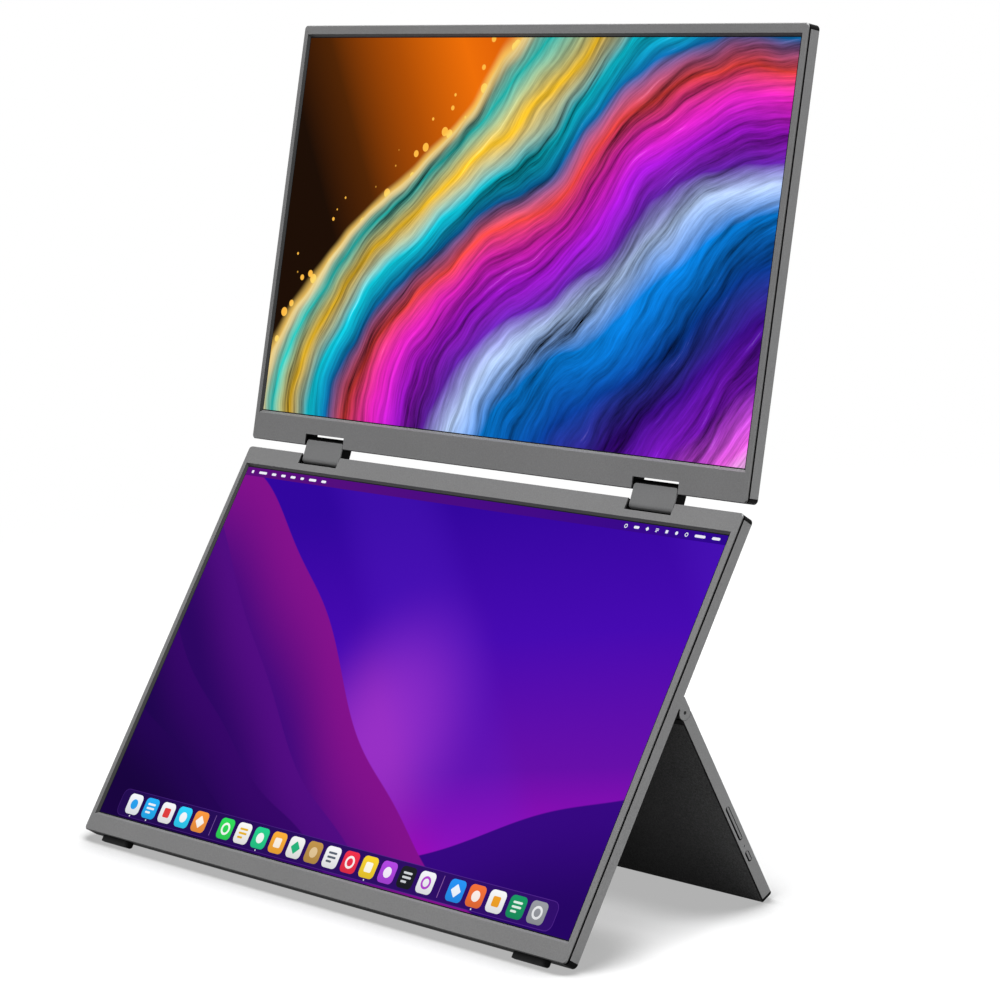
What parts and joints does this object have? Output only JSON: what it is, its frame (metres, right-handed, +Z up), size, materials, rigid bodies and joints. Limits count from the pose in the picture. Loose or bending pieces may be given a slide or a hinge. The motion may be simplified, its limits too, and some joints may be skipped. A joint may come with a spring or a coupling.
{
  "type": "dual portable monitor",
  "caption": "Stacked slim portable screens joined by fold hinges, held up by a full-width tilting rear stand that holds the sockets and side keys.",
  "frame": {"origin": "on the floor, in the middle of the part from side to side and from front to back", "axes": "+X to the right when facing the screens, +Y from the screens' front to the back, +Z up"},
  "size_m": [0.353, 0.1916, 0.3906],
  "materials": {
    "bezel_grey": "dark grey anodised",
    "case_black": "fine matt black",
    "screen_glass": "clear over a dark panel",
    "backlight_white": "matt white",
    "board_green": "coated circuit board",
    "steel": "turned steel",
    "black_steel": "blackened steel",
    "bush_brass": "turned brass",
    "key_grey": "satin dark grey",
    "light_pipe": "milky clear",
    "foot_rubber": "matt black rubber"
  },
  "bodies": {
    "lower_monitor": {"lower_back_cover": "case_black", "lower_bezel": "bezel_grey", "lower_display": "screen_glass", "lower_backlight": "backlight_white", "lower_side_trims": "bezel_grey", "lower_driver_board": "board_green", "lower_hinge_brackets": "steel", "lower_feet": "foot_rubber", "stand_ears": "case_black", "stand_pivot_pins": "black_steel"},
    "hinge_links": {"left_hinge_link": "case_black", "right_hinge_link": "case_black", "left_hinge_cover": "bezel_grey", "right_hinge_cover": "bezel_grey", "hinge_shafts": "steel"},
    "upper_monitor": {"upper_back_cover": "case_black", "upper_bezel": "bezel_grey", "upper_display": "screen_glass", "upper_backlight": "backlight_white", "upper_side_trims": "bezel_grey", "upper_driver_board": "board_green", "upper_hinge_brackets": "steel"},
    "stand": {"stand_housing": "case_black", "stand_inner_cover": "case_black", "stand_side_trims": "bezel_grey", "stand_foot_pads": "foot_rubber", "stand_pivot_bushes": "bush_brass", "main_board": "board_green", "usb_c_sockets": "steel", "hdmi_socket": "steel", "speakers": "case_black", "switch_board": "board_green", "led_light_pipe": "light_pipe", "rocker_pin": "steel"},
    "menu_rocker": {"menu_rocker": "key_grey"},
    "power_button": {"power_button": "key_grey"}
  },
  "joints": [
    {"name": "link_fold", "type": "hinge", "parent": "lower_monitor", "child": "hinge_links", "pos_m": [0, 0.03188, 0.17622], "axis": [1, 0, 0], "range_deg": [-70, 79.9]},
    {"name": "upper_fold", "type": "hinge", "parent": "hinge_links", "child": "upper_monitor", "pos_m": [0, 0.03563, 0.18407], "axis": [1, 0, 0], "range_deg": [-70, 79.9]},
    {"name": "stand_fold", "type": "hinge", "parent": "lower_monitor", "child": "stand", "pos_m": [0, -0.0144, 0.09837], "axis": [1, 0, 0], "range_deg": [-60.4, 29.6]},
    {"name": "rocker_tilt", "type": "hinge", "parent": "stand", "child": "menu_rocker", "pos_m": [0.1732, 0.01205, 0.04119], "axis": [0, -0.9076, -0.4198], "range_deg": [-3, 3], "stiffness_Nm_per_rad": 0.2},
    {"name": "power_press", "type": "slide", "parent": "stand", "child": "power_button", "axis": [-1, 0, 0], "range_m": [0, 0.0004], "stiffness_N_per_m": 2500}
  ]
}
